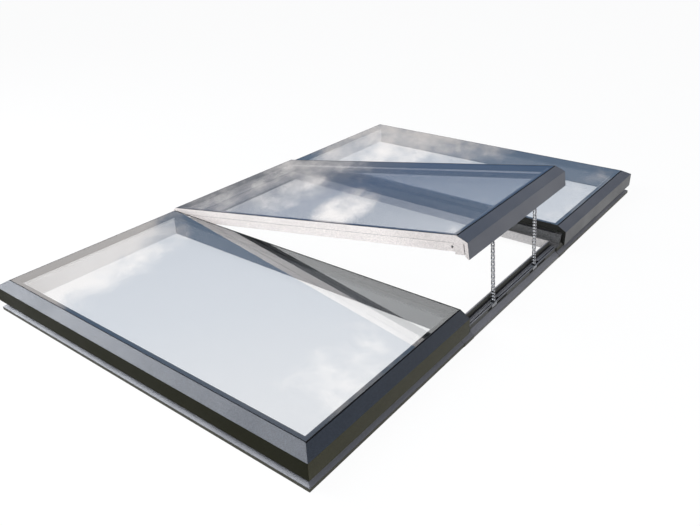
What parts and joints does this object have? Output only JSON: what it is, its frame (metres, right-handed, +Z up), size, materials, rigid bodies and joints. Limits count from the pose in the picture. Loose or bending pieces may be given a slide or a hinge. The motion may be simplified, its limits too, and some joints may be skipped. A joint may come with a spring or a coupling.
{
  "type": "roof skylight",
  "caption": "Long flat-roof skylight of side by side insulated panes in bevelled metal frames, with a back-hinged middle sash that is pushed open by chain drives.",
  "frame": {"origin": "middle of the base's underside, below the closed sash", "axes": "+X along the row of panes, -Y to the chain side where the sash opens, +Y to the hinges, +Z up out of the roof"},
  "size_m": [2.5, 1.584, 0.3895],
  "materials": {
    "base_grey": "fine textured powder coat, dark grey",
    "anthracite": "satin powder coat, anthracite",
    "light_coat": "fine textured powder coat, warm white",
    "black_seal": "matt",
    "pane_glass": "clear, dark printed border under the outer pane",
    "spacer_bar": "matt",
    "bright_steel": "bright",
    "drive_case": "matt"
  },
  "bodies": {
    "frame": {"base_front_left": "base_grey", "base_back_left": "base_grey", "base_end_left": "base_grey", "base_front_right": "base_grey", "base_back_right": "base_grey", "base_end_right": "base_grey", "base_front_centre": "base_grey", "base_back_centre": "base_grey", "mullion_left": "base_grey", "mullion_right": "base_grey", "joint_covers_front": "anthracite", "joint_covers_back": "anthracite", "cap_front_left": "anthracite", "cap_back_left": "anthracite", "cap_end_left": "anthracite", "cap_front_right": "anthracite", "cap_back_right": "anthracite", "cap_end_right": "anthracite", "side_cap_left": "anthracite", "side_cap_right": "anthracite", "liner_left": "light_coat", "liner_centre": "light_coat", "liner_right": "light_coat", "edge_seals": "black_seal", "gasket_left": "black_seal", "gasket_right": "black_seal", "glass_seal_left": "black_seal", "glass_seal_right": "black_seal", "groove_seals": "black_seal", "pane_outer_left": "pane_glass", "pane_outer_right": "pane_glass", "pane_inner_left": "pane_glass", "pane_inner_right": "pane_glass", "spacer_left": "spacer_bar", "spacer_right": "spacer_bar", "hinge_base_leaves": "bright_steel", "hinge_pins": "bright_steel", "chain_left_pin_links": "bright_steel", "chain_left_bush_links": "bright_steel", "chain_right_pin_links": "bright_steel", "chain_right_bush_links": "bright_steel", "chain_guides": "bright_steel", "chain_drives": "drive_case"},
    "sash": {"sash_cap_front": "anthracite", "sash_cap_back": "anthracite", "sash_side_cap_left": "light_coat", "sash_side_cap_right": "light_coat", "sash_rail_front": "light_coat", "sash_rail_back": "light_coat", "sash_rail_left": "light_coat", "sash_rail_right": "light_coat", "pane_outer_centre": "pane_glass", "spacer_centre": "spacer_bar", "pane_inner_centre": "pane_glass", "gasket_centre": "black_seal", "glass_seal_centre": "black_seal", "sash_seal": "black_seal", "hinge_sash_leaves": "bright_steel", "chain_brackets": "bright_steel", "bracket_pins": "bright_steel"}
  },
  "joints": [
    {"name": "sash_hinge", "type": "hinge", "parent": "frame", "child": "sash", "pos_m": [0, 0.778, 0.05], "axis": [1, 0, 0], "range_deg": [0, 10], "deforming": ["chain_left_pin_links", "chain_left_bush_links", "chain_right_pin_links", "chain_right_bush_links"]}
  ]
}
